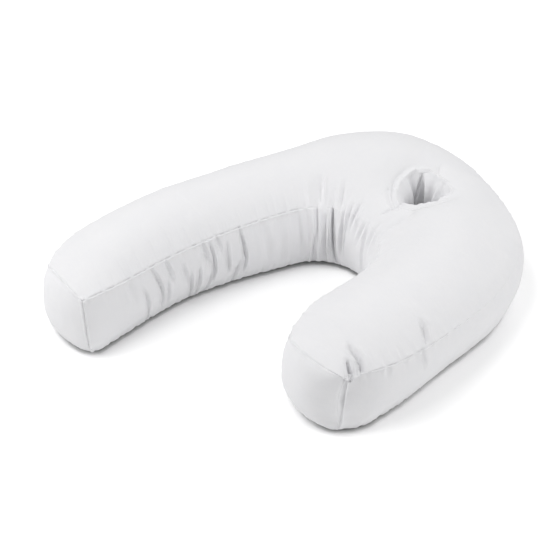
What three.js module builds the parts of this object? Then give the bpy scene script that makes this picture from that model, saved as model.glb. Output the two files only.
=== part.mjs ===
// Side-sleeper neck pillow: a long and a short filled arm joined by a broad bend with an ear hole through it.
// The cover is a top panel, a bottom panel, an inner band, an outer band and two end panels, sewn edge to
// edge, with a cloth sleeve sewn in between the two mouths of the hole. Millimetres, +Z up, lying on z = 0.
import * as THREE from "three";

// Driving dimensions
const BOTTOM_SEAM = 8; // height above the floor of the seam round the bottom panel
const FLAT_SHARE = 0.5; // share of the bottom panel's width that lies flat on the floor
const BAND_SWELL = 7; // how far the bands swell out between their seams
const END_LIFT = 0.35; // length of the bottom panel that curls up to an end, in stations

// How many quads the panels are divided into
const TOP_STEPS = 12; // across the top panel, and across the bottom panel
const BAND_STEPS = 6; // up a band, and up an end panel
const STATION_STEPS = 8; // along the pillow, from one station to the next

// Stations of the cover's pattern, from the long arm's end round the bend to the short arm's end.
// in: inner seams, out: outer seams. X, Y: place of the top seam. Seam: its height. Foot: how far the bottom
// seam lies outside it. crown: rise of the top panel between the seams.
const STATIONS = [
  { inX: -93, inY: -294, inSeam: 97, inFoot: 7, outX: -196, outY: -293, outSeam: 92, outFoot: -4, crown: 10 },
  { inX: -95, inY: -230, inSeam: 98, inFoot: 0, outX: -227, outY: -226, outSeam: 97, outFoot: -4, crown: 28 },
  { inX: -104, inY: -151, inSeam: 98, inFoot: -3, outX: -237, outY: -146, outSeam: 98, outFoot: -4, crown: 33 },
  { inX: -106, inY: -76, inSeam: 98, inFoot: 0, outX: -237, outY: -66, outSeam: 98, outFoot: -4, crown: 34 },
  { inX: -100, inY: -1, inSeam: 98, inFoot: 7, outX: -230, outY: 24, outSeam: 98, outFoot: -4, crown: 33 },
  { inX: -90, inY: 54, inSeam: 98, inFoot: 10, outX: -217, outY: 114, outSeam: 97, outFoot: -4, crown: 34 },
  { inX: -72, inY: 86, inSeam: 97, inFoot: 12, outX: -200, outY: 213, outSeam: 96, outFoot: -4, crown: 39 },
  { inX: -44, inY: 106, inSeam: 97, inFoot: 12, outX: -146, outY: 299, outSeam: 94, outFoot: -4, crown: 44 },
  { inX: -11, inY: 112, inSeam: 97, inFoot: 12, outX: -40, outY: 325, outSeam: 92, outFoot: -4, crown: 44 },
  { inX: 24, inY: 104, inSeam: 97, inFoot: 10, outX: 55, outY: 305, outSeam: 90, outFoot: -4, crown: 43 },
  { inX: 53, inY: 80, inSeam: 97, inFoot: 7, outX: 135, outY: 264, outSeam: 87, outFoot: -4, crown: 42 },
  { inX: 69, inY: 42, inSeam: 97, inFoot: 5, outX: 192, outY: 184, outSeam: 85, outFoot: -5, crown: 40 },
  { inX: 76, inY: -6, inSeam: 97, inFoot: 4, outX: 221, outY: 82, outSeam: 90, outFoot: -12, crown: 37 },
  { inX: 84, inY: -51, inSeam: 97, inFoot: 4, outX: 233, outY: -20, outSeam: 95, outFoot: -9, crown: 31 },
  { inX: 112, inY: -112, inSeam: 96, inFoot: 3, outX: 223, outY: -97, outSeam: 97, outFoot: -1, crown: 6 },
];
const LAST = STATIONS.length - 1;
const SECTIONS = LAST * STATION_STEPS;

// How far the seams of the end panels stand out past the last station: bow is the middle of the top seam,
// footIn and footOut are the bottom corners, foot is the middle of the bottom seam past those corners, lift is
// how far the bottom corners are drawn up, and swell is how far the panel swells out between its seams.
const ENDS = {
  long: { bow: 5, footIn: -3, footOut: 6, foot: 10, lift: 2, swell: 12 },
  short: { bow: 14, footIn: 4, footOut: 17, foot: 18, lift: 9, swell: 10 },
};

// Folds of the bands. at: station at the top seam. lean: how many stations further it is at the bottom seam.
// depth, width: its size. from, to: the share of the band's height it covers, from the top seam down.
// onTop: how far it runs on over the top panel, in mm.
const INNER_FOLDS = [
  { at: 1.4, lean: 0, depth: 3, width: 15, from: 0.4, to: 1, onTop: 0 },
  { at: 2.3, lean: 0.05, depth: 4, width: 15, from: 0.3, to: 0.9, onTop: 0 },
  { at: 2.75, lean: 0.05, depth: 7, width: 13, from: 0.2, to: 0.75, onTop: 0 },
  { at: 3.1, lean: 0.05, depth: 4, width: 12, from: 0.2, to: 0.7, onTop: 0 },
  { at: 3.42, lean: 0.1, depth: 7, width: 13, from: 0.2, to: 0.85, onTop: 0 },
  { at: 5.65, lean: -0.15, depth: 5, width: 7, from: 0, to: 1, onTop: 35 },
  { at: 6.3, lean: 0.12, depth: 11, width: 8, from: 0, to: 1, onTop: 18 },
  { at: 6.82, lean: 0.12, depth: 9, width: 7, from: 0, to: 0.9, onTop: 30 },
  { at: 7.4, lean: 0.05, depth: 5, width: 7, from: 0, to: 0.8, onTop: 22 },
  { at: 8.1, lean: 0, depth: 6, width: 7, from: 0, to: 0.9, onTop: 28 },
  { at: 8.9, lean: -0.05, depth: 5, width: 7, from: 0, to: 0.9, onTop: 24 },
];
const OUTER_FOLDS = [
  { at: 12.62, lean: 0.05, depth: 5, width: 11, from: 0, to: 0.6, onTop: 26 },
  { at: 13.8, lean: 0, depth: 5, width: 8, from: 0, to: 0.25, onTop: 22 },
];
const FOLD_FADE = 0.15; // share of the band's height over which a fold starts or ends
const FOLD_DROP = 0.5; // how far a fold draws its seam down, as a share of its depth
const SEAM_BLEND = 12; // how far from a seam, on the top panel, a fold turns from sideways to downwards
const SEAM_SHARE = 0.2; // and the same on the band, as a share of its height

// The ear hole. at: its station. share: how far across the top panel from the inner seam. rim: radius.
// dip, dipReach: how deep and how far round it the sleeve pulls the top panel down.
const HOLE = { at: 8.25, share: 0.45, rim: 40, dip: 30, dipReach: 50 };
const HOLE_SPAN = 8; // sections on each side of the hole that are set round it
const HOLE_STEPS = [3, 9]; // and the steps across the panels
const LIP_SHARES = [0.75, 0.5, 0.25, 0]; // rings of the lip, as shares of the way from the rim out to those

// Rings of the sleeve, from the rim down to the bottom panel
const SLEEVE = [
  { radius: 36, height: 110 },
  { radius: 32, height: 101 },
  { radius: 28, height: 88 },
  { radius: 24, height: 70 },
  { radius: 22, height: 50 },
  { radius: 24, height: 32 },
  { radius: 30, height: 16 },
  { radius: 39, height: 6 },
  { radius: 50, height: 1.5 },
];

// Soft folds of the sleeve. angle, width: in degrees round the hole from +X. depth: how far it bulges inwards.
const SLEEVE_FOLDS = [
  { angle: 88, depth: 9, width: 30 },
  { angle: 185, depth: 6, width: 22 },
  { angle: 238, depth: 5, width: 20 },
  { angle: 305, depth: 6, width: 26 },
  { angle: 10, depth: 5, width: 20 },
];
const SLEEVE_FOOT = 40; // height below which these folds open out

const { lerp, smoothstep, degToRad, euclideanModulo } = THREE.MathUtils;
const UP = new THREE.Vector3(0, 0, 1);
const through = (points) => new THREE.CatmullRomCurve3(points, false, "centripetal");
const innerSeam = through(STATIONS.map((row) => new THREE.Vector3(row.inX, row.inY, row.inSeam)));
const outerSeam = through(STATIONS.map((row) => new THREE.Vector3(row.outX, row.outY, row.outSeam)));
const crowns = through(STATIONS.map((row, index) => new THREE.Vector3(index, row.crown, 0)));
const feet = through(STATIONS.map((row, index) => new THREE.Vector3(index, row.inFoot, row.outFoot)));
const startWay = innerSeam.getPoint(0).sub(innerSeam.getPoint(0.01)).setZ(0).normalize();
const finishWay = innerSeam.getPoint(1).sub(innerSeam.getPoint(0.99)).setZ(0).normalize();

// The profile of a cloth panel that is held at both edges and filled: 0 at the edges and 1 in the middle.
const swell = (t) => 4 * t * (1 - t);
const bell = (distance, reach) => Math.exp(-((distance / reach) ** 2));
const holeU = HOLE.at / LAST;
const holeMiddle = innerSeam.getPoint(holeU).lerp(outerSeam.getPoint(holeU), HOLE.share);
const fromHole = (point) => Math.hypot(point.x - holeMiddle.x, point.y - holeMiddle.y);

// How deep the folds of a band are at a station, on the band (down: share of its height)
// and on the top panel beside it (over: distance from the seam).
function foldDepth(folds, seam, u, down, over) {
  let depth = 0;
  for (const fold of folds) {
    const middle = (fold.at + fold.lean * down) / LAST;
    const along = seam.getPoint(u).distanceTo(seam.getPoint(middle));
    const head = smoothstep(down, fold.from - FOLD_FADE, fold.from + FOLD_FADE);
    const foot = 1 - smoothstep(down, fold.to - FOLD_FADE, fold.to + FOLD_FADE);
    const onTop = Math.max(0, 1 - over / Math.max(fold.onTop, SEAM_BLEND));
    depth += fold.depth * bell(along, fold.width) * head * foot * onTop;
  }
  return depth;
}

// How far the seams of an end stand out, at a share across the end (from the inner side) and down it.
function endReach(end, across, down) {
  const foot = lerp(end.footIn, end.footOut, across) + end.foot * swell(across);
  return lerp(end.bow * swell(across), foot, down);
}

// A point of the cross-section at u (0 to 1 along the pillow). The panels are walked in the order
// top (inner to outer), outer band (down), bottom (outer to inner), inner band (up), each with t from 0 to 1.
function sectionPoint(u, panel, t) {
  const inner = innerSeam.getPoint(u);
  const outer = outerSeam.getPoint(u);
  const width = inner.distanceTo(outer);
  const across = outer.clone().sub(inner).setZ(0).normalize();
  const nearStart = Math.max(0, 1 - u * LAST);
  const nearFinish = Math.max(0, 1 - (1 - u) * LAST);
  const { y: inFoot, z: outFoot } = feet.getPoint(u);
  const lowSeam = BOTTOM_SEAM + ENDS.long.lift * nearStart ** 2 + ENDS.short.lift * nearFinish ** 2;
  let point = inner;
  let share = 0;
  let down = 0;
  if (panel === "top") {
    share = t;
    const inFold = foldDepth(INNER_FOLDS, innerSeam, u, 0, t * width);
    const outFold = foldDepth(OUTER_FOLDS, outerSeam, u, 0, (1 - t) * width);
    const inSide = Math.max(0, 1 - (t * width) / SEAM_BLEND);
    const outSide = Math.max(0, 1 - ((1 - t) * width) / SEAM_BLEND);
    point = inner.lerp(outer, t).addScaledVector(across, inFold * inSide - outFold * outSide);
    point.z += crowns.getPoint(u).y * swell(t) - HOLE.dip * bell(fromHole(point), HOLE.dipReach);
    point.z -= inFold * lerp(1, FOLD_DROP, inSide) + outFold * lerp(1, FOLD_DROP, outSide);
  } else if (panel === "bottom") {
    share = 1 - t;
    down = 1;
    const side = Math.max(0, Math.abs(2 * t - 1) - FLAT_SHARE) / (1 - FLAT_SHARE);
    const end = Math.max(0, 1 - (1 - Math.max(nearStart, nearFinish)) / END_LIFT);
    inner.addScaledVector(across, -inFoot);
    outer.addScaledVector(across, outFoot);
    point = outer.lerp(inner, t).setZ(lowSeam * (1 - (1 - side ** 2) * (1 - end ** 2)));
  } else if (panel === "outerBand") {
    share = 1;
    down = t;
    const fold = foldDepth(OUTER_FOLDS, outerSeam, u, down, 0);
    point = outer.addScaledVector(across, outFoot * down + BAND_SWELL * swell(t) - fold);
    point.z = lerp(outer.z - FOLD_DROP * fold * bell(down, SEAM_SHARE), lowSeam, down);
  } else {
    down = 1 - t;
    const fold = foldDepth(INNER_FOLDS, innerSeam, u, down, 0);
    point.addScaledVector(across, fold - inFoot * down - BAND_SWELL * swell(t));
    point.z = lerp(inner.z - FOLD_DROP * fold * bell(down, SEAM_SHARE), lowSeam, down);
  }
  point.addScaledVector(startWay, endReach(ENDS.long, share, down) * nearStart ** 2);
  return point.addScaledVector(finishWay, endReach(ENDS.short, share, down) * nearFinish ** 2);
}

// Steps across the top and bottom panels are finer beside the seams.
const seamStep = (index) => 0.5 - 0.5 * Math.cos((Math.PI * index) / TOP_STEPS);
const RING = [
  ...Array.from({ length: TOP_STEPS }, (_, i) => ["top", seamStep(i)]),
  ...Array.from({ length: BAND_STEPS }, (_, i) => ["outerBand", i / BAND_STEPS]),
  ...Array.from({ length: TOP_STEPS }, (_, i) => ["bottom", seamStep(i)]),
  ...Array.from({ length: BAND_STEPS }, (_, i) => ["innerBand", i / BAND_STEPS]),
];
const BOTTOM_START = TOP_STEPS + BAND_STEPS;
const bottomUnder = (j) => BOTTOM_START + TOP_STEPS - j; // the bottom step that lies under top step j

const vertices = [];
const triangles = [];
const addVertex = (point) => vertices.push(point) - 1;
function addQuad(a, b, c, d) {
  triangles.push(a, b, c, a, c, d);
}

// Panels and bands, section by section, leaving out the grid round the ear hole
const holeFrom = HOLE.at * STATION_STEPS - HOLE_SPAN;
const holeTo = HOLE.at * STATION_STEPS + HOLE_SPAN;
const [holeIn, holeOut] = HOLE_STEPS;
function roundHole(i, j) {
  const [panel] = RING[j];
  const step = panel === "bottom" ? bottomUnder(j) - 1 : j;
  const onPanel = panel === "top" || panel === "bottom";
  return onPanel && i >= holeFrom && i < holeTo && step >= holeIn && step < holeOut;
}
const rings = [];
for (let i = 0; i <= SECTIONS; i++) {
  rings.push(
    RING.map(([panel, t], j) => {
      const inside = roundHole(i, j) && roundHole(i - 1, j) && roundHole(i, j - 1);
      return inside ? null : addVertex(sectionPoint(i / SECTIONS, panel, t));
    }),
  );
}
for (let i = 0; i < SECTIONS; i++) {
  for (let j = 0; j < RING.length; j++) {
    const next = (j + 1) % RING.length;
    if (!roundHole(i, j)) addQuad(rings[i][j], rings[i + 1][j], rings[i + 1][next], rings[i][next]);
  }
}

// The lip and the sleeve: rings of points from the edge of the left-out grid of the top panel,
// over the rim, down through the pillow and out to the edge of the left-out grid of the bottom panel
const loop = [];
for (let i = holeFrom; i < holeTo; i++) loop.push([i, holeIn]);
for (let j = holeIn; j < holeOut; j++) loop.push([holeTo, j]);
for (let i = holeTo; i > holeFrom; i--) loop.push([i, holeOut]);
for (let j = holeOut; j > holeIn; j--) loop.push([holeFrom, j]);
const topEdge = loop.map(([i, j]) => rings[i][j]);
const bottomEdge = loop.map(([i, j]) => rings[i][bottomUnder(j)]);
const lipRings = LIP_SHARES.map((out) =>
  loop.map(([i, j], m) => {
    const share = lerp(HOLE.rim / fromHole(vertices[topEdge[m]]), 1, out);
    const u = lerp(holeU, i / SECTIONS, share);
    return addVertex(sectionPoint(u, "top", lerp(HOLE.share, seamStep(j), share)));
  }),
);
function sleeveBulge(angle, height) {
  let bulge = 0;
  for (const fold of SLEEVE_FOLDS) {
    const apart = euclideanModulo(angle - degToRad(fold.angle) + Math.PI, 2 * Math.PI) - Math.PI;
    bulge += fold.depth * bell(apart, degToRad(fold.width));
  }
  return bulge * smoothstep(height, 0, SLEEVE_FOOT);
}
const sleeveRings = SLEEVE.map(({ radius, height }) =>
  lipRings.at(-1).map((index) => {
    const angle = Math.atan2(vertices[index].y - holeMiddle.y, vertices[index].x - holeMiddle.x);
    const point = new THREE.Vector3(radius - sleeveBulge(angle, height), 0, 0).applyAxisAngle(UP, angle);
    return addVertex(point.add(holeMiddle).setZ(height));
  }),
);
const lofted = [topEdge, ...lipRings, ...sleeveRings, bottomEdge];
for (let k = 0; k + 1 < lofted.length; k++) {
  for (let m = 0; m < loop.length; m++) {
    const next = (m + 1) % loop.length;
    addQuad(lofted[k][m], lofted[k][next], lofted[k + 1][next], lofted[k + 1][m]);
  }
}

// An end panel: a sheet stretched over the last ring and swollen outwards, as rows of points from the top down
function endPanel(ring, outward, endSwell) {
  const at = (index) => ring[euclideanModulo(index, ring.length)];
  const rows = [];
  for (let down = 0; down <= BAND_STEPS; down++) {
    const row = [];
    for (let over = 0; over <= TOP_STEPS; over++) {
      const top = at(over);
      const outer = at(TOP_STEPS + down);
      const bottom = at(bottomUnder(over));
      const inner = at(-down);
      const edge = { [0]: top, [BAND_STEPS]: bottom }[down] ?? { [0]: inner, [TOP_STEPS]: outer }[over];
      if (edge !== undefined) {
        row.push(edge);
        continue;
      }
      const v = down / BAND_STEPS;
      const h = seamStep(over);
      const point = new THREE.Vector3();
      point.addScaledVector(vertices[top], 1 - v).addScaledVector(vertices[bottom], v);
      point.addScaledVector(vertices[inner], 1 - h).addScaledVector(vertices[outer], h);
      point.addScaledVector(vertices[at(0)], -(1 - v) * (1 - h));
      point.addScaledVector(vertices[at(TOP_STEPS)], -(1 - v) * h);
      point.addScaledVector(vertices[at(BOTTOM_START)], -v * h);
      point.addScaledVector(vertices[at(-BAND_STEPS)], -v * (1 - h));
      point.addScaledVector(outward, endSwell * Math.sqrt(swell(v) * swell(h)));
      row.push(addVertex(point));
    }
    rows.push(row);
  }
  return rows;
}
const startRows = endPanel(rings[0], startWay, ENDS.long.swell);
const finishRows = endPanel(rings[SECTIONS], finishWay, ENDS.short.swell);
for (let down = 0; down < BAND_STEPS; down++) {
  for (let over = 0; over < TOP_STEPS; over++) {
    const corners = ([upper, lower]) => [upper[over], upper[over + 1], lower[over + 1], lower[over]];
    addQuad(...corners(startRows.slice(down, down + 2)));
    addQuad(...corners(finishRows.slice(down, down + 2)).reverse());
  }
}

const geometry = new THREE.BufferGeometry();
geometry.setAttribute("position", new THREE.Float32BufferAttribute(vertices.flatMap((v) => v.toArray()), 3));
geometry.setIndex(triangles);
geometry.computeVertexNormals();
geometry.computeBoundingBox();

const whiteCotton = new THREE.MeshStandardMaterial({ color: 0xf2f2f3, roughness: 0.9, metalness: 0 });
const pillow = new THREE.Mesh(geometry, whiteCotton);
pillow.name = "pillow";

// The middle of the pillow's length and width lies over the origin.
const middle = geometry.boundingBox.getCenter(new THREE.Vector3());
pillow.position.set(-middle.x, -middle.y, 0);

const part = new THREE.Group();
part.add(pillow);
export default part;
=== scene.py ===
# Side-sleeper neck pillow: a white cotton cover on a fibre filling, bent like the handle of a cane, with
# an ear hole through the bend. The cover is sewn from its pattern, filled by a cloth simulation and creased.
import math

import bmesh
import bpy
import numpy as np
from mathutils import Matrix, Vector, noise


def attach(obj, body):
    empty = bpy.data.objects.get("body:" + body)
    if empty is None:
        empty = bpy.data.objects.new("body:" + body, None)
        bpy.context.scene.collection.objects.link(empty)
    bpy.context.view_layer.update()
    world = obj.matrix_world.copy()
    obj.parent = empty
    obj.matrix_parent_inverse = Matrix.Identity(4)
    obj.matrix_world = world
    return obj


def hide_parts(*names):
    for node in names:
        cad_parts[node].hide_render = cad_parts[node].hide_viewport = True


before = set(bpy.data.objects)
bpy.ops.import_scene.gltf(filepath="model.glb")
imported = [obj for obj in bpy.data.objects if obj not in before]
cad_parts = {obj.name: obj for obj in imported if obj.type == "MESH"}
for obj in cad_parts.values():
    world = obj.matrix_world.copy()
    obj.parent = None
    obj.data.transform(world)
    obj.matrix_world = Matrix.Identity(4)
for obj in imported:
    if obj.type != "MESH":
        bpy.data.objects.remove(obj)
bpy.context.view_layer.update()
bpy.ops.object.select_all(action="DESELECT")


# The cover is white plain-woven cotton: a top and a bottom panel, an inner and an outer band and two end
# panels, sewn edge to edge and stuffed with fibre, and a cloth sleeve sewn in between the two mouths of the
# ear hole. It is laid out seam by seam, filled by a cloth simulation, and creased as the photo shows.
MM = 0.001
BOTTOM_SEAM = 6 * MM  # height of the seam round the bottom panel
TUCK = 7 * MM  # how far the bands curl in under, down to that seam
TUCK_FROM = 0.72  # share of a band's height, from the top, below which it curls in
FLAT_SHARE = 0.5  # share of the bottom panel's width that lies flat
BAND_SWELL = 7 * MM  # how far the bands swell out between their seams
SWELL_FADE = 4  # power by which that fades from the last station but one to an end
END_LIFT = 0.35  # length of the bottom panel that curls up to an end, in stations
TOP_STEPS = 20  # quads across the top panel, and across the bottom panel
BAND_STEPS = 12  # quads up a band, and up an end panel
STATION_STEPS = 24  # quads along the pillow, from one station to the next
SEAM_GRADE = 0.85  # how much narrower the quads of a panel are beside its seams

# Pattern, in millimetres, from the long arm's end round the bend to the short arm's end. in, out: inner and
# outer top seam, with its place and height. foot: how far the bottom seam lies outside it. crown: rise of
# the top panel between them.
PATTERN_COLUMNS = ("in_x", "in_y", "in_seam", "in_foot", "out_x", "out_y", "out_seam", "out_foot", "crown")
PATTERN = (
    (-89.6, -301.9, 97, 14, -192.6, -300.9, 92, -1, 10),
    (-91.6, -237.9, 98, 5, -223.6, -233.9, 97, -1, 28),
    (-100.6, -158.9, 98, 0, -233.6, -153.9, 98, -1, 35),
    (-102.6, -83.9, 98, 3, -233.6, -73.9, 98, -1, 34),
    (-96.6, -8.9, 98, 10, -226.6, 16.1, 98, -1, 33),
    (-86.6, 46.1, 98, 13, -213.6, 106.1, 97, -1, 34),
    (-68.6, 78.1, 97, 15, -196.6, 205.1, 96, -1, 41),
    (-40.6, 98.1, 97, 15, -142.6, 291.1, 94, -1, 46),
    (-7.6, 104.1, 97, 15, -36.6, 317.1, 92, -1, 44),
    (27.4, 96.1, 97, 13, 59.4, 297.6, 90, -1, 43),
    (56.4, 72.1, 97, 10, 140.4, 258.6, 87, -3, 42),
    (72.4, 34.1, 97, 8, 195.4, 176.1, 85, -5, 40),
    (79.4, -13.9, 97, 7, 224.4, 74.1, 90, -11, 37),
    (87.4, -58.9, 97, 7, 236.4, -27.9, 95, -4, 31),
    (115.4, -119.9, 96, 6, 226.4, -104.9, 97, -4, 5),
)
LAST_STATION = len(PATTERN) - 1
SECTIONS = LAST_STATION * STATION_STEPS

# How the end panels stand out past the last stations, in millimetres. bow: middle of the top seam. foot_in
# and foot_out: bottom corners. foot: middle of the bottom seam past them. tuck: how far they curl in under.
# swell: of the panel's crest. crest: where that lies, as a power of the share across.
END_COLUMNS = ("bow", "foot_in", "foot_out", "foot", "tuck", "swell", "crest")
LONG_END = dict(zip(END_COLUMNS, (5, 4, 8, 9, 7, 12, 1.7)))
SHORT_END = dict(zip(END_COLUMNS, (14, 2, 16, 14, 7, 18, 0.6)))


def pattern(column, at):
    """A column of the pattern at any place between the stations, in metres, on a smooth curve."""
    values = [row[PATTERN_COLUMNS.index(column)] for row in PATTERN]
    values = [2 * values[0] - values[1], *values, 2 * values[-1] - values[-2]]
    index = min(int(at), LAST_STATION - 1)
    part = at - index
    before, start, end, after = values[index:index + 4]
    slope_in = (end - before) / 2
    slope_out = (after - start) / 2
    rise = end - start
    cubic = slope_in + slope_out - 2 * rise
    square = rise - slope_in - cubic
    return (start + part * (slope_in + part * (square + part * cubic))) * MM


def top_seam(side, at):
    return Vector((pattern(side + "_x", at), pattern(side + "_y", at), pattern(side + "_seam", at)))


def level(vector):
    return Vector((vector.x, vector.y, 0)).normalized()


def swell(share):
    """Profile of a filled panel that is held at both edges: 0 at the edges and 1 in the middle."""
    return 4 * share * (1 - share)


def mix(start, end, share):
    return start + (end - start) * share


# Which way each arm's end points
NEAR_END = 0.1  # stations
long_way = level(top_seam("in", 0) - top_seam("in", NEAR_END))
short_way = level(top_seam("in", LAST_STATION) - top_seam("in", LAST_STATION - NEAR_END))


def tuck(down):
    """How a band curls in under: 0 down to the lower part of its height, and 1 at its bottom seam."""
    return max(0, (down - TUCK_FROM) / (1 - TUCK_FROM)) ** 2


def end_reach(end, across, down):
    foot = mix(end["foot_in"], end["foot_out"], across) + end["foot"] * swell(across)
    return (mix(end["bow"] * swell(across), foot, down) - end["tuck"] * tuck(down)) * MM


# The ear hole goes through the bend. Its mouth is drawn out to a corner on two sides, and its sleeve draws
# the top panel down round the rim.
HOLE_AT = 8.25  # station
HOLE_SHARE = 0.45  # share of the way from the inner to the outer seam
HOLE_DIP = 30 * MM
HOLE_DIP_REACH = 50 * MM
RIM_ANGLES = (15, 38, 70, 103, 133, 157, 188, 229, 258, 277, 293, 310, 330)  # degrees from +X
RIM_RADII = (36, 41, 38, 37, 41, 39, 34, 35, 42, 48, 44, 42, 38)  # millimetres
hole_middle = top_seam("in", HOLE_AT).lerp(top_seam("out", HOLE_AT), HOLE_SHARE)


def from_hole(point):
    return math.hypot(point.x - hole_middle.x, point.y - hole_middle.y)


def hole_angle(x, y):
    return np.degrees(np.arctan2(y - hole_middle.y, x - hole_middle.x))


def rim_radius(angle):
    return np.interp(angle, RIM_ANGLES, RIM_RADII, period=360) * MM


def section_point(at, panel, share):
    """A point of the cover's cross-section. The panels are walked in the order top (inner to outer seam),
    outer band (down), bottom (outer to inner seam) and inner band (up)."""
    inner = top_seam("in", at)
    outer = top_seam("out", at)
    across = level(outer - inner)
    near_long = max(0, 1 - at)
    near_short = max(0, 1 - (LAST_STATION - at))
    band_swell = BAND_SWELL * (1 - max(near_long, near_short) ** SWELL_FADE)
    in_foot = inner - across * pattern("in_foot", at)
    out_foot = outer + across * pattern("out_foot", at)
    in_foot.z = BOTTOM_SEAM
    out_foot.z = BOTTOM_SEAM
    if panel == "top":
        over, down = share, 0
        point = inner.lerp(outer, share)
        dip = HOLE_DIP * math.exp(-((from_hole(point) / HOLE_DIP_REACH) ** 2))
        point.z += pattern("crown", at) * swell(share) - dip
    elif panel == "outer band":
        over, down = 1, share
        point = outer.lerp(out_foot, share) + across * (band_swell * swell(share) - TUCK * tuck(share))
    elif panel == "bottom":
        over, down = 1 - share, 1
        point = (out_foot - across * TUCK).lerp(in_foot + across * TUCK, share)
        side = max(0, abs(2 * share - 1) - FLAT_SHARE) / (1 - FLAT_SHARE)
        end = max(0, 1 - (1 - max(near_long, near_short)) / END_LIFT)
        point.z = BOTTOM_SEAM * (1 - (1 - side**2) * (1 - end**2))
    else:
        over, down = 0, 1 - share
        point = in_foot.lerp(inner, share) - across * (band_swell * swell(share) - TUCK * tuck(1 - share))
    point += long_way * end_reach(LONG_END, over, down) * near_long**2
    point += short_way * end_reach(SHORT_END, over, down) * near_short**2
    return point


def seam_step(share):
    return share - SEAM_GRADE * math.sin(2 * math.pi * share) / (2 * math.pi)


RING = [("top", seam_step(k / TOP_STEPS)) for k in range(TOP_STEPS)]
RING += [("outer band", seam_step(k / BAND_STEPS)) for k in range(BAND_STEPS)]
RING += [("bottom", seam_step(k / TOP_STEPS)) for k in range(TOP_STEPS)]
RING += [("inner band", seam_step(k / BAND_STEPS)) for k in range(BAND_STEPS)]
BOTTOM_START = TOP_STEPS + BAND_STEPS
INNER_START = BOTTOM_START + TOP_STEPS

# The panels and bands, section by section, with a block of quads left out of the top and the bottom for the
# ear hole
HOLE_SPAN = 24  # sections on each side of the hole in that block
HOLE_STEPS = (5, 15)  # and the steps across
hole_from = round(HOLE_AT * STATION_STEPS) - HOLE_SPAN
hole_to = hole_from + 2 * HOLE_SPAN


def under(step):
    """The step of the bottom panel that lies under a step of the top panel."""
    return INNER_START - step


def in_hole_block(section, step):
    if BOTTOM_START <= step < INNER_START:
        step = under(step) - 1
    return hole_from <= section < hole_to and HOLE_STEPS[0] <= step < HOLE_STEPS[1]


# How far along its top seams each section lies
def seam_ways(side):
    ways = [0.0]
    for section in range(SECTIONS):
        start = top_seam(side, section / STATION_STEPS)
        ways.append(ways[-1] + (top_seam(side, (section + 1) / STATION_STEPS) - start).length)
    return ways


in_ways = seam_ways("in")
out_ways = seam_ways("out")

# Every point of the cover carries its place on the pattern, in metres: its way along the inner and the outer
# top seam, its gap from each (above 0 on the top panel, below 0 down the band), and the same for its nearest
# seam.
PLACES = ("in_way", "in_gap", "out_way", "out_gap", "seam_way", "seam_gap")
FAR = 1.0  # gap of a point that lies on neither panel beside a seam
mesh = bmesh.new()
place_layers = {name: mesh.verts.layers.float.new(name) for name in PLACES}
deform = mesh.verts.layers.deform.verify()
cloth_map = mesh.loops.layers.uv.new("cloth")
PINNED, SLACK = 0, 1  # vertex groups: held by the sewing, and cut longer than its seams


def add_point(point, pinned=0.0, slack=0.0, **places):
    vertex = mesh.verts.new(point)
    vertex[deform][PINNED] = pinned
    vertex[deform][SLACK] = slack
    for name in PLACES:
        vertex[place_layers[name]] = places.get(name, FAR)
    return vertex


def way_of(ways, at):
    section = min(int(at * STATION_STEPS), SECTIONS - 1)
    return mix(ways[section], ways[section + 1], at * STATION_STEPS - section)


def panel_places(at, panel, share):
    """The pattern places of a point of the cross-section."""
    in_way, out_way = way_of(in_ways, at), way_of(out_ways, at)
    inner, outer = top_seam("in", at), top_seam("out", at)
    width = (outer - inner).length
    in_gap = out_gap = FAR
    if panel == "top":
        in_gap, out_gap = share * width, (1 - share) * width
        edges = [(in_gap, in_way), (out_gap, -out_way)]
    elif panel == "outer band":
        height = outer.z - BOTTOM_SEAM
        out_gap = -share * height
        edges = [(-out_gap, -out_way), ((1 - share) * height, -out_way)]
    elif panel == "bottom":
        edges = [(share * width, -out_way), ((1 - share) * width, in_way)]
    else:
        height = inner.z - BOTTOM_SEAM
        in_gap = -(1 - share) * height
        edges = [(-in_gap, in_way), (share * height, in_way)]
    end_way = share * width if panel in ("top", "bottom") else share * (inner.z - BOTTOM_SEAM)
    edges += [(in_way, end_way), (in_ways[-1] - in_way, end_way)]
    seam_gap, seam_way = min(edges)
    return dict(zip(PLACES, (in_way, in_gap, out_way, out_gap, seam_way, seam_gap)))


END_GRADE = 1.5  # power by which the sections lie closer together towards the ends


def section_at(section):
    """The station of a section."""
    at = section / STATION_STEPS
    if at < 1:
        return at**END_GRADE
    if at > LAST_STATION - 1:
        return LAST_STATION - (LAST_STATION - at) ** END_GRADE
    return at


# How much of the inner band's extra length each band is cut with
BAND_SLACK = {"inner band": 1.0, "outer band": 0.3}
rings = []
for section in range(SECTIONS + 1):
    at = section_at(section)
    ring = []
    for step, (panel, share) in enumerate(RING):
        quads_beside = (section, step), (section - 1, step), (section, step - 1)
        if all(in_hole_block(*quad) for quad in quads_beside):
            ring.append(None)
            continue
        on_seam = share == 0 or panel == "bottom" or section in (0, SECTIONS)
        point_places = panel_places(at, panel, share)
        point = section_point(at, panel, share)
        ring.append(add_point(point, float(on_seam), BAND_SLACK.get(panel, 0.0), **point_places))
    rings.append(ring)


def sew(quad, cloth_places):
    """A quad of cloth, with the place of each corner on the flat cloth that its panel is cut from."""
    face = mesh.faces.new(quad)
    for corner, cloth_place in zip(face.loops, cloth_places):
        corner[cloth_map].uv = cloth_place


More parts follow.
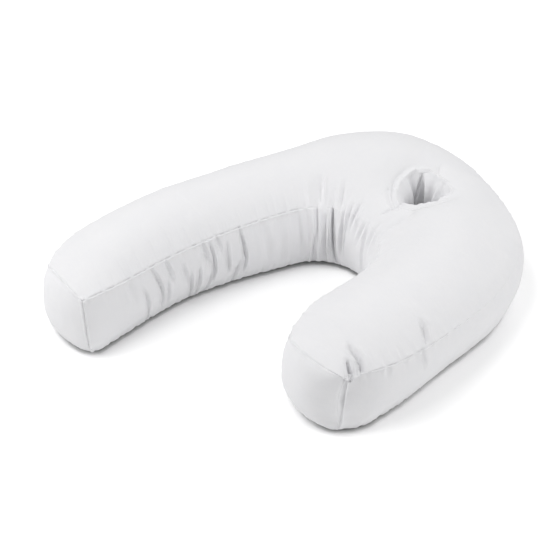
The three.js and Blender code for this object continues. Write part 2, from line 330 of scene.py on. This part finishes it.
for section in range(SECTIONS):
    for step, (panel, share) in enumerate(RING):
        if in_hole_block(section, step):
            continue
        after = (step + 1) % len(RING)
        start, end = rings[section], rings[section + 1]
        quad = (start[step], end[step], end[after], start[after])
        if panel in ("top", "bottom"):
            sew(quad, [point.co.xy for point in quad])
        else:
            way = place_layers["in_way" if panel == "inner band" else "out_way"]
            sew(quad, [(point[way], point.co.z) for point in quad])

# The lip and the sleeve: rings of points from the edge of that block in the top panel, over the rim, down
# through the pillow and out to the edge of the block in the bottom panel
LIP_SHARES = (0.8, 0.61, 0.44, 0.3, 0.2, 0.15, 0.12, 0.095, 0.075, 0.055, 0.035, 0.015, 0)
SLEEVE = (  # reach and height, as shares of the rim's
    (0.98, 0.992), (0.955, 0.975), (0.925, 0.95), (0.895, 0.92), (0.865, 0.88), (0.84, 0.83), (0.82, 0.78),
    (0.8, 0.72), (0.78, 0.66), (0.76, 0.6), (0.74, 0.52), (0.71, 0.43), (0.68, 0.35), (0.67, 0.27),
    (0.7, 0.2), (0.77, 0.135), (0.86, 0.09), (0.98, 0.05), (1.1, 0.03), (1.25, 0.012),
)
SLEEVE_FOOT = 0.35  # share of the height below which the sleeve's folds open out
SLEEVE_HEAD = 0.2  # share of the height over which they grow from the rim down
SLEEVE_CLEAR = 11 * MM  # way that stays open through the middle

# Folds of the sleeve. angle: of the fold under the rim, in degrees from +X. turn: how far it would turn
# down to the floor. depth: how far it bulges into the hole, in millimetres, below 0 for a crease. left,
# right: its width on each side, in degrees.
SLEEVE_FOLDS = (  # angle, turn, depth, left, right
    (137, -40, 20, 3, 22),
    (85, -20, 16, 16, 30),
    (187, 0, 11, 75, 2.5),
    (160, 0, 5, 24, 18),
    (172, 0, -5, 7, 9),
    (262, 0, 6, 25, 25),
    (310, 0, 8, 26, 22),
    (20, 0, 8, 20, 22),
    (84, -120, -10, 3, 7),
    (140, 60, -8, 2, 2),
)

first, last = HOLE_STEPS
block_edge = [(section, first) for section in range(hole_from, hole_to)]
block_edge += [(hole_to, step) for step in range(first, last)]
block_edge += [(section, last) for section in range(hole_to, hole_from, -1)]
block_edge += [(hole_from, step) for step in range(last, first, -1)]
loops = [[rings[section][step] for section, step in block_edge]]
edge_count = len(block_edge)
edge_angles = np.unwrap([hole_angle(point.co.x, point.co.y) for point in loops[0]], period=360)
even_angles = np.arange(edge_count) * 360 / edge_count
even_angles += np.mean(edge_angles - even_angles)
edge_turns = np.concatenate([edge_angles - 360, edge_angles, edge_angles + 360])
even_places = np.interp(even_angles, edge_turns, np.arange(-edge_count, 2 * edge_count))


def edge_place(place):
    """The section and step at any place along the edge of that block."""
    start = math.floor(place)
    ends = block_edge[start % edge_count], block_edge[(start + 1) % edge_count]
    return [mix(one, other, place - start) for one, other in zip(*ends)]


for out in LIP_SHARES:
    lip = []
    for k in range(edge_count):
        section, step = edge_place(mix(even_places[k], k, out))
        at, over = section / STATION_STEPS, seam_step(step / TOP_STEPS)
        edge = section_point(at, "top", over)
        share = mix(rim_radius(hole_angle(edge.x, edge.y)) / from_hole(edge), 1, out)
        at, over = mix(HOLE_AT, at, share), mix(HOLE_SHARE, over, share)
        point = section_point(at, "top", over)
        lip.append(add_point(point, float(out == 0), **panel_places(at, "top", over)))
    loops.append(lip)
rim = loops[-1]
for reach, height in SLEEVE:
    folding = min(1, height / SLEEVE_FOOT, math.sqrt((1 - height) / SLEEVE_HEAD))
    sleeve_ring = []
    for k, rim_point in enumerate(rim):
        angle = mix(edge_angles[k], even_angles[k], min(1, height / SLEEVE_FOOT))
        bulge = 0
        for fold_angle, turn, depth, left, right in SLEEVE_FOLDS:
            apart = math.remainder(angle - fold_angle - turn * (1 - height), 360)
            bulge += depth * MM * math.exp(-((apart / (left if apart > 0 else right)) ** 2)) * folding
        radius = max(reach * from_hole(rim_point.co) - bulge, SLEEVE_CLEAR)
        place = Vector((math.cos(math.radians(angle)), math.sin(math.radians(angle)), 0)) * radius
        place += Vector((hole_middle.x, hole_middle.y, height * rim_point.co.z))
        sleeve_ring.append(add_point(place, pinned=1.0))
    loops.append(sleeve_ring)
loops.append([rings[section][under(step)] for section, step in block_edge])
for ring_index, (upper, lower) in enumerate(zip(loops, loops[1:])):
    for k in range(edge_count):
        after = (k + 1) % edge_count
        quad = (upper[k], upper[after], lower[after], lower[k])
        if ring_index < len(LIP_SHARES) or lower is loops[-1]:
            sew(quad, [point.co.xy for point in quad])
        else:
            round_hole = 2 * math.pi * rim_radius(0) / edge_count
            ways = (k, k + 1, k + 1, k)
            sew(quad, [(way * round_hole, point.co.z) for way, point in zip(ways, quad)])


# The end panels are stretched between the last ring's four seams and swell out between them.
def end_panel(ring, outward, end):
    rows = []
    for down in range(BAND_STEPS + 1):
        row = []
        for over in range(TOP_STEPS + 1):
            top, bottom = ring[over], ring[under(over) % len(ring)]
            inner, outer = ring[-down], ring[TOP_STEPS + down]
            if down == 0:
                row.append(top)
            elif down == BAND_STEPS:
                row.append(bottom)
            elif over == 0:
                row.append(inner)
            elif over == TOP_STEPS:
                row.append(outer)
            else:
                low, out = seam_step(down / BAND_STEPS), seam_step(over / TOP_STEPS)
                point = mix(top.co, bottom.co, low) + mix(inner.co, outer.co, out)
                upper_corners = mix(ring[0].co, ring[TOP_STEPS].co, out)
                lower_corners = mix(ring[INNER_START].co, ring[BOTTOM_START].co, out)
                point -= mix(upper_corners, lower_corners, low)
                point += outward * end["swell"] * MM * math.sqrt(swell(low) * swell(out ** end["crest"]))
                gaps = [(top.co - point).length, (bottom.co - point).length]
                gaps += [(inner.co - point).length, (outer.co - point).length]
                edge = top if min(gaps) in gaps[:2] else inner
                way = (ring[0].co - edge.co).length
                row.append(add_point(point, seam_gap=min(gaps), seam_way=way))
        rows.append(row)
    return rows


for ring, outward, end in ((rings[0], long_way, LONG_END), (rings[-1], short_way, SHORT_END)):
    rows = end_panel(ring, outward, end)
    sideways = Vector((-outward.y, outward.x, 0))
    for upper, lower in zip(rows, rows[1:]):
        for over in range(TOP_STEPS):
            quad = [upper[over], upper[over + 1], lower[over + 1], lower[over]]
            if end is SHORT_END:
                quad.reverse()
            sew(quad, [(point.co.dot(sideways), point.co.z) for point in quad])

cover_mesh = bpy.data.meshes.new("pillow_cover")
mesh.to_mesh(cover_mesh)
mesh.free()
cover = bpy.data.objects.new("pillow_cover", cover_mesh)
cover.vertex_groups.new(name="pinned")
cover.vertex_groups.new(name="slack")
bpy.context.collection.objects.link(cover)
cover.select_set(True)
bpy.context.view_layer.objects.active = cover


def read_points(data, name, size):
    values = np.zeros(len(data) * size)
    data.foreach_get(name, values)
    return values.reshape(-1, size) if size > 1 else values


# The filling blows the cover up. Seams, underside and sleeve hold still, and the panels are cut a little
# longer than their seams, so the cloth puckers beside them.
FILL_FRAMES = 20
FILL_STEPS = 5  # steps of the simulation in each frame
FILL_PRESSURE = 60
PANEL_EXTRA = 0.002  # share by which the top and end panels are longer than their seams
INNER_EXTRA = 0.04  # and the inner band
MOVE_CAP = 6 * MM  # no point moves further than this

sewn = read_points(cover.data.vertices, "co", 3)
bpy.ops.object.modifier_add(type="CLOTH")
filling = cover.modifiers[-1]
filling.settings.quality = FILL_STEPS
filling.settings.use_pressure = True
filling.settings.uniform_pressure_force = FILL_PRESSURE
filling.settings.vertex_group_mass = "pinned"
filling.settings.vertex_group_shrink = "slack"
filling.settings.shrink_min = -PANEL_EXTRA
filling.settings.shrink_max = -INNER_EXTRA
filling.settings.effector_weights.gravity = 0
filling.collision_settings.use_collision = False
filling.point_cache.frame_end = FILL_FRAMES
for frame_number in range(1, FILL_FRAMES + 1):
    bpy.context.scene.frame_set(frame_number)
bpy.ops.object.modifier_apply(modifier=filling.name)
bpy.context.scene.frame_set(1)
moved = read_points(cover.data.vertices, "co", 3) - sewn
lengths = np.linalg.norm(moved, axis=1, keepdims=True)
filled = sewn + moved * MOVE_CAP / np.maximum(lengths, MOVE_CAP)
cover.data.vertices.foreach_set("co", filled.ravel())

# The quads are divided, so that they are fine enough for the folds.
DIVISIONS = 1
bpy.ops.object.modifier_add(type="SUBSURF")
division = cover.modifiers[-1]
division.levels = DIVISIONS
division.render_levels = DIVISIONS
bpy.ops.object.modifier_apply(modifier=division.name)

# Folds along the top seams, where the cloth of the bands is longer than the seam. Each is a crease between
# two low ridges, given as a depth, a width towards the long arm, a width towards the short arm, and a path
# of stations and gaps from the seam, from its upper to its lower end. A gap above 0 is on the top panel. All
# but the stations are in millimetres.
ARM_FOLDS = (
    (3.0, 3.0, 4.0, (1.08, -2), (1.09, -18), (1.16, -44)),
    (7.5, 1.0, 1.7, (1.33, -24), (1.40, -41), (1.42, -62), (1.42, -92)),
    (10.0, 1.0, 1.7, (1.57, -2), (1.63, -16), (1.71, -41), (1.73, -78)),
    (5.5, 1.3, 2.0, (1.83, -28), (1.85, -52), (1.85, -80)),
    (6.0, 1.3, 2.0, (1.87, -1), (1.90, -13), (1.98, -40)),
    (5.0, 1.3, 2.0, (2.19, -15), (2.21, -25), (2.27, -52)),
    (8.0, 1.0, 1.7, (2.35, -38), (2.35, -62), (2.38, -94)),
    (8.0, 1.0, 1.9, (2.53, -34), (2.52, -52), (2.50, -94)),
    (6.0, 1.3, 2.0, (2.68, 2), (2.69, -10), (2.75, -38)),
    (6.0, 1.3, 2.0, (2.78, -56), (2.70, -94)),
    (12.0, 1.0, 1.5, (2.82, -4), (2.85, -30), (2.85, -52), (2.83, -72)),
    (5.0, 1.3, 2.0, (2.99, 2), (3.02, -24)),
    (6.0, 1.0, 1.7, (3.17, -12), (3.15, -35), (3.17, -66)),
    (11.0, 1.0, 1.5, (3.45, 2), (3.48, -21), (3.50, -46), (3.46, -74)),
    (6.5, 1.0, 1.9, (3.40, -50), (3.31, -67), (3.28, -94)),
)
BEND_FOLDS = (
    (1.2, 4.0, 3.0, (1.06, 26), (1.12, -20)),
    (1.2, 3.0, 4.0, (1.40, 24), (1.44, -2)),
    (1.2, 4.0, 3.0, (1.74, 26), (1.78, -6)),
    (1.2, 3.0, 4.0, (2.08, 24), (2.12, -4)),
    (1.2, 3.0, 4.0, (2.44, 22), (2.47, -8)),
    (3.0, 5.0, 5.0, (3.95, 0), (4.00, -64)),
    (2.5, 6.0, 4.0, (4.40, 0), (4.36, -80)),
    (4.0, 5.0, 4.0, (4.93, 0), (4.97, -76)),
    (3.5, 4.0, 5.0, (5.22, 0), (5.25, -56)),
    (6.0, 1.8, 3.5, (5.55, -30), (5.44, -94)),
    (5.0, 7.0, 2.0, (5.70, 40), (5.78, 2)),
    (6.0, 3.0, 1.8, (5.61, 4), (5.75, -66)),
    (8.0, 5.0, 1.6, (6.02, -8), (6.09, -94)),
    (5.0, 5.0, 5.0, (6.18, 24), (6.26, 0), (6.41, -52), (6.60, -94)),
    (15.0, 1.4, 1.0, (6.25, 2), (6.26, 0), (6.41, -52), (6.62, -94)),
    (5.0, 2.5, 2.5, (6.46, 36), (6.58, 0), (6.64, -24)),
    (6.0, 2.5, 1.6, (6.76, 8), (6.76, 0), (6.88, -66)),
    (3.5, 2.5, 2.5, (6.98, 14), (7.06, -24)),
    (4.0, 2.5, 2.5, (7.30, 20), (7.20, -22)),
    (3.5, 2.5, 2.5, (7.92, 4), (7.75, -38)),
    (4.5, 2.0, 3.5, (8.02, 4), (8.22, -33), (8.36, -76)),
    (3.0, 2.5, 2.5, (8.45, 12), (8.56, -30)),
    (2.5, 2.5, 2.5, (8.84, 8), (8.92, -40)),
)
OUTER_FOLDS = (
    (9.0, 4.0, 1.2, (12.38, 27), (12.46, 18), (12.50, 13), (12.56, 3)),
    (5.0, 3.0, 1.2, (12.66, 3), (12.68, -8), (12.67, -30)),
    (10.0, 3.5, 1.2, (13.50, 46), (13.58, 36), (13.58, 27), (13.62, 15), (13.74, 0)),
    (1.5, 3.0, 3.0, (12.95, 14), (13.00, -8)),
    (2.0, 3.0, 3.0, (13.22, 18), (13.30, -14)),
    (13.0, 2.0, 1.8, (13.70, 29), (13.76, 21), (13.83, 11), (13.88, 6), (13.95, -3)),
)
RIDGE_RISE = 0.35  # height of the ridges beside a crease, as a share of its depth
RIDGE_AWAY = 2.2  # how far they lie from it, in widths
CREASE_ROUND = 0.2  # how far its bottom is rounded, in widths

places = {name: read_points(cover.data.attributes[name].data, "value", 1) for name in PLACES}
points = read_points(cover.data.vertices, "co", 3)
rise = np.zeros(len(points))


def fold_rise(folds, ways, way, gap):
    """How far the folds along a top seam raise or sink each point."""
    total = np.zeros(len(way))
    for depth, before, after, *path in folds:
        drops = [-place * MM for station, place in path]
        along = way - np.interp(-gap, drops, [way_of(ways, station) for station, place in path])
        apart = np.abs(along) / np.where(along < 0, before * MM, after * MM)
        profile = RIDGE_RISE * np.exp(-((apart - RIDGE_AWAY) ** 2)) - np.exp(-np.hypot(apart, CREASE_ROUND))
        share = np.clip((-gap - drops[0]) / (drops[-1] - drops[0]), 0, 1)
        total += depth * MM * np.sqrt(np.sin(np.pi * share)) * profile
    return total


rise += fold_rise(ARM_FOLDS + BEND_FOLDS, in_ways, places["in_way"], places["in_gap"])
rise += fold_rise(OUTER_FOLDS, out_ways, places["out_way"], places["out_gap"])

# Creases of the top panel beside the ear hole, from point to point, and soft dents, which also round the
# corners of the ends. All are in millimetres, and a depth below 0 is a bulge.
TOP_CREASES = (  # depth, width, from, to
    (4.5, 1.8, (-2, 122), (4, 156)),
    (4.0, 4.0, (-31, 252), (-16, 237)),
    (3.0, 6.0, (26, 106), (37, 150)),
)
DENTS = (  # depth, radius, place
    (13.0, 34, (224, -110, 62)),
    (6.0, 16, (231, -96, 97)),
    (-8.0, 26, (232, -82, 12)),
    (6.0, 15, (-76, -306, 5)),
    (4.0, 13, (-192, -301, 92)),
    (4.0, 13, (115, -122, 96)),
    (3.5, 11, (227, -118, 4)),
    (3.0, 45, (-4, 309, 95)),
)
ON_PANEL = FAR / 2  # the gap of a point on the panel is less than this
on_top = (places["in_gap"] > 0) & (places["in_gap"] < ON_PANEL)
for depth, width, start, end in TOP_CREASES:
    start, end = np.array(start) * MM, np.array(end) * MM
    share = np.clip(((points[:, :2] - start) @ (end - start)) / ((end - start) @ (end - start)), 0, 1)
    apart = np.linalg.norm(points[:, :2] - start - share[:, None] * (end - start), axis=1) / (width * MM)
    rise -= depth * MM * np.exp(-apart) * np.sqrt(np.sin(np.pi * share)) * on_top
for depth, radius, place in DENTS:
    apart = np.linalg.norm(points - np.array(place) * MM, axis=1) / (radius * MM)
    rise -= depth * MM * np.exp(-(apart**2))

# The seams lie in a narrow groove, which the gathers of the bend hide. Beside it the bands and end panels
# have a raised lip, where the cut edges are turned in, and the cloth puckers on both sides. Round the
# outside of the bend the cloth is pulled tight, so the seam sinks into the filling and hardly shows.
SEAM_GROOVE = 1.4 * MM
SEAM_WIDTH = 0.8 * MM
LIP_RISE = 1.1 * MM
LIP_AWAY = 1.8 * MM
PUCKER_RISE = 0.8 * MM
PUCKER_REACH = 10 * MM
PUCKER_WAVES = (  # length in millimetres, phase, share of the rise
    (9.0, 0.0, 0.5),
    (14.0, 1.3, 0.5),
    (23.0, 2.1, 0.6),
)
GATHERS_AT = 7.2  # station in the middle of the gathers
GATHERS_REACH = 72 * MM
TIGHT_AT = 10.9  # station in the middle of the tight stretch of the outer seam
TIGHT_REACH = 155 * MM
TIGHT_SINK = 3 * MM
TIGHT_WIDTH = 13 * MM
TIGHT_HIDES = 0.75  # share of the groove, lip and puckers that is pulled flat

gap = np.abs(places["seam_gap"])
way = places["seam_way"]
waves = np.zeros(len(points))
for length, phase, share in PUCKER_WAVES:
    waves += share * np.sin(2 * np.pi * way / (length * MM) + phase)
groove = SEAM_GROOVE * (1 + waves / 2) * np.exp(-((gap / SEAM_WIDTH) ** 2))
seam_lip = LIP_RISE * np.exp(-(((gap - LIP_AWAY) / SEAM_WIDTH) ** 2)) * ~on_top
gathers = np.exp(-(((way - way_of(in_ways, GATHERS_AT)) / GATHERS_REACH) ** 4))
tight = np.exp(-(((way + way_of(out_ways, TIGHT_AT)) / TIGHT_REACH) ** 4))
pucker = PUCKER_RISE * waves * np.exp(-gap / PUCKER_REACH) * (1 - np.exp(-((gap / SEAM_WIDTH) ** 2)))
rise += ((seam_lip - groove) * (1 - gathers) + pucker) * (1 - TIGHT_HIDES * tight)
rise -= TIGHT_SINK * tight * np.exp(-((places["out_gap"] / TIGHT_WIDTH) ** 2))

# The fibre filling is a little lumpy under the cloth.
LUMPS = ((70, 1.2), (28, 0.5), (12, 0.3))  # size and height in millimetres
for size, height in LUMPS:
    rise += height * MM * np.array([noise.noise(Vector(point) / (size * MM)) for point in points])

# The mouth of the ear hole has a narrow rolled edge. Beside it, a sewn line shows on two sides.
ROLL_RISE = 2.5 * MM
ROLL_WIDTH = 2.5 * MM
ROLL_FLOOR = 100 * MM  # the roll lies above this height
ROLL_WAVES = (  # scallops round the rim, and their height as a share of the roll's
    (9, 0.3),
    (14, 0.25),
    (23, 0.2),
)
HEM_WIDTH = 2.0 * MM
HEMS = (  # side in degrees from +X, way from the rim and depth in millimetres
    (240, 6.0, 2.5),
    (310, 11.0, 4.0),
)
angle = hole_angle(points[:, 0], points[:, 1])
from_rim = np.hypot(points[:, 0] - hole_middle.x, points[:, 1] - hole_middle.y) - rim_radius(angle)
scallops = 1 + sum(share * np.sin(np.radians(count * angle)) for count, share in ROLL_WAVES)
rise += ROLL_RISE * scallops * np.exp(-((from_rim / ROLL_WIDTH) ** 2)) * (points[:, 2] > ROLL_FLOOR)
for side, away, depth in HEMS:
    beside = np.clip(np.cos(np.radians(angle - side)), 0, 1)
    rise -= depth * MM * np.exp(-(((from_rim - away * MM) / HEM_WIDTH) ** 2)) * beside * on_top

normals = read_points(cover.data.vertex_normals, "vector", 3)
points += normals * rise[:, None]
points[:, 2] = np.maximum(points[:, 2], 0)
cover.data.vertices.foreach_set("co", points.ravel())
cover.data.update()
bpy.ops.object.shade_smooth()

# White cotton: a plain weave of half-millimetre threads, some thicker than others. The cloth has a faint
# warm and cool mottle, as washed cotton has, and a soft nap, and it is crumpled a little all over.
THREAD = 0.5 * MM
WAVE_SCALE = math.pi / 10  # scale of a wave texture whose waves are 1 unit long
WAVE_MIDDLE = 0.5  # of such a texture, which goes from 0 to 1
SLUB = (40 * MM, 0.8 * MM)  # length and width of the thicker stretches of thread
MOTTLE = 35 * MM
NAP = 2.5 * MM
CRUMPLE = (11 * MM, 6 * MM)  # length and width of the crumples
COTTON_COOL = (0.80, 0.802, 0.82, 1)
COTTON_WARM = (0.835, 0.83, 0.84, 1)
WEAVE_DEPTH = 0.12 * MM
WEAVE_STRENGTH = 0.6
NAP_HEIGHT = 0.5  # of the nap and the slubs, beside the threads
CRUMPLE_HEIGHT = 6.0  # of the crumples
COTTON_ROUGH = 0.8
ROUGH_CHANGE = 0.1  # from the hollows of the weave to its tops
COTTON_SHEEN = 0.15
PLAIN, SOFT, FINE = 1, 2, 3  # detail of the noise
cotton = bpy.data.materials.new("white_cotton")
cotton.use_nodes = True
nodes = cotton.node_tree.nodes
links = cotton.node_tree.links
shader = nodes["Principled BSDF"]
cloth_place = nodes.new("ShaderNodeUVMap")
cloth_place.uv_map = "cloth"


def math_node(operation, *values):
    node = nodes.new("ShaderNodeMath")
    node.operation = operation
    for socket, value in zip(node.inputs, values):
        if isinstance(value, bpy.types.NodeSocket):
            links.new(value, socket)
        else:
            socket.default_value = value
    return node.outputs["Value"]


def threads(direction):
    """Waves across the cloth that are two threads long, from -0.5 to 0.5."""
    node = nodes.new("ShaderNodeTexWave")
    node.bands_direction = direction
    node.inputs["Scale"].default_value = WAVE_SCALE / (2 * THREAD)
    links.new(cloth_place.outputs["UV"], node.inputs["Vector"])
    return math_node("SUBTRACT", node.outputs["Fac"], WAVE_MIDDLE)


def cloth_noise(length, width, detail):
    """Noise in the cloth, with patches of a length and a width."""
    stretch = nodes.new("ShaderNodeMapping")
    stretch.inputs["Scale"].default_value = (1 / length, 1 / width, 1)
    node = nodes.new("ShaderNodeTexNoise")
    node.inputs["Scale"].default_value = 1
    node.inputs["Detail"].default_value = detail
    links.new(cloth_place.outputs["UV"], stretch.inputs["Vector"])
    links.new(stretch.outputs["Vector"], node.inputs["Vector"])
    return node.outputs["Fac"]


over_under = math_node("MULTIPLY", threads("X"), threads("Y"))
slubs = math_node("ADD", cloth_noise(*SLUB, PLAIN), cloth_noise(*reversed(SLUB), PLAIN))
nap = cloth_noise(NAP, NAP, SOFT)
weave = math_node("ADD", over_under, math_node("MULTIPLY", math_node("ADD", slubs, nap), NAP_HEIGHT))
bump = nodes.new("ShaderNodeBump")
bump.inputs["Strength"].default_value = WEAVE_STRENGTH
bump.inputs["Distance"].default_value = WEAVE_DEPTH
crumples = cloth_noise(*CRUMPLE, SOFT)
links.new(math_node("MULTIPLY_ADD", crumples, CRUMPLE_HEIGHT, weave), bump.inputs["Height"])
links.new(bump.outputs["Normal"], shader.inputs["Normal"])

shade = nodes.new("ShaderNodeMix")
shade.data_type = "RGBA"
shade.inputs["A"].default_value = COTTON_COOL
shade.inputs["B"].default_value = COTTON_WARM
links.new(math_node("MULTIPLY", cloth_noise(MOTTLE, MOTTLE, FINE), slubs), shade.inputs["Factor"])
links.new(shade.outputs["Result"], shader.inputs["Base Color"])
links.new(math_node("MULTIPLY_ADD", weave, ROUGH_CHANGE, COTTON_ROUGH), shader.inputs["Roughness"])
shader.inputs["Sheen Weight"].default_value = COTTON_SHEEN
cover.data.materials.append(cotton)

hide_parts("pillow")
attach(cover, "root")


# The floor is plain white studio paper. The camera sees it brighter than the light it throws back at the
# pillow, so the paper burns out to white. Close to the pillow the colour the camera sees is darkened by an
# ambient-occlusion node: a painted shadow, narrow, with a painted dark line where the pillow touches the
# paper.
FLOOR_SIZE = 12
PAPER_WHITE = (0.93, 0.93, 0.93, 1)
BURNT_WHITE = (1.2, 1.2, 1.2, 1)
PAPER_ROUGH = 1
PAPER_SHINE = 0
PAINTED_SHADE_REACH = 8 * MM  # how far that painted dark line reaches
bpy.ops.object.select_all(action="DESELECT")
bpy.ops.mesh.primitive_plane_add(size=FLOOR_SIZE)
floor = bpy.context.object
floor.name = "floor"
paper = bpy.data.materials.new("white_paper")
paper.use_nodes = True
nodes = paper.node_tree.nodes
links = paper.node_tree.links
light_path = nodes.new("ShaderNodeLightPath")
paper_mix = nodes.new("ShaderNodeMixShader")
links.new(light_path.outputs["Is Camera Ray"], paper_mix.inputs["Fac"])
lit_paper = nodes["Principled BSDF"]
lit_paper.inputs["Base Color"].default_value = PAPER_WHITE
seen_paper = nodes.new("ShaderNodeBsdfPrincipled")
# Painted shade: the paper's colour seen by the camera is darkened by ambient occlusion close to the pillow
painted_edge_shade = nodes.new("ShaderNodeAmbientOcclusion")
painted_edge_shade.inputs["Color"].default_value = BURNT_WHITE
painted_edge_shade.inputs["Distance"].default_value = PAINTED_SHADE_REACH
links.new(painted_edge_shade.outputs["Color"], seen_paper.inputs["Base Color"])
for paper_shader, socket in zip((lit_paper, seen_paper), paper_mix.inputs[1:]):
    paper_shader.inputs["Roughness"].default_value = PAPER_ROUGH
    paper_shader.inputs["Specular IOR Level"].default_value = PAPER_SHINE
    links.new(paper_shader.outputs["BSDF"], socket)
links.new(paper_mix.outputs["Shader"], nodes["Material Output"].inputs["Surface"])
floor.data.materials.append(paper)

# Soft studio light: white walls all round and four large round lamps, each aimed at the pillow.
WALL_WHITE = (1, 1, 1, 1)
WALL_LIGHT = 0.393
LAMP_AWAY = 2.2
LAMP_SIZE = 1.2
LAMPS = (  # name, azimuth and height in degrees, watts
    ("left_lamp", 240, 30, 13.4),
    ("top_lamp", 240, 70, 15.8),
    ("back_lamp", 120, 30, 8.2),
    ("right_lamp", 30, 30, 14.6),
)
world = bpy.data.worlds.new("studio")
bpy.context.scene.world = world
world.use_nodes = True
walls = world.node_tree.nodes["Background"]
walls.inputs["Color"].default_value = WALL_WHITE
walls.inputs["Strength"].default_value = WALL_LIGHT
for name, azimuth, height, watts in LAMPS:
    flat = math.cos(math.radians(height))
    towards = Vector((flat * math.cos(math.radians(azimuth)), flat * math.sin(math.radians(azimuth)), 0))
    towards.z = math.sin(math.radians(height))
    bpy.ops.object.light_add(type="AREA", location=towards * LAMP_AWAY)
    lamp = bpy.context.object
    lamp.name = name
    lamp.data.shape = "DISK"
    lamp.data.size = LAMP_SIZE
    lamp.data.energy = watts
    lamp.rotation_euler = towards.to_track_quat("Z", "Y").to_euler()

# The camera stands at the photo's angle.
CAMERA_TARGET = Vector((-0.0226, -0.0339, 0.05))
CAMERA_BACK = Vector((0.6275, -0.4394, 0.6428))
CAMERA_AWAY = 2.0
CAMERA_LENS = 93.47
bpy.ops.object.camera_add(location=CAMERA_TARGET + CAMERA_BACK * CAMERA_AWAY)
camera = bpy.context.object
camera.rotation_euler = CAMERA_BACK.to_track_quat("Z", "Y").to_euler()
camera.data.lens = CAMERA_LENS
bpy.context.scene.camera = camera
bpy.context.scene.view_settings.view_transform = "Standard"
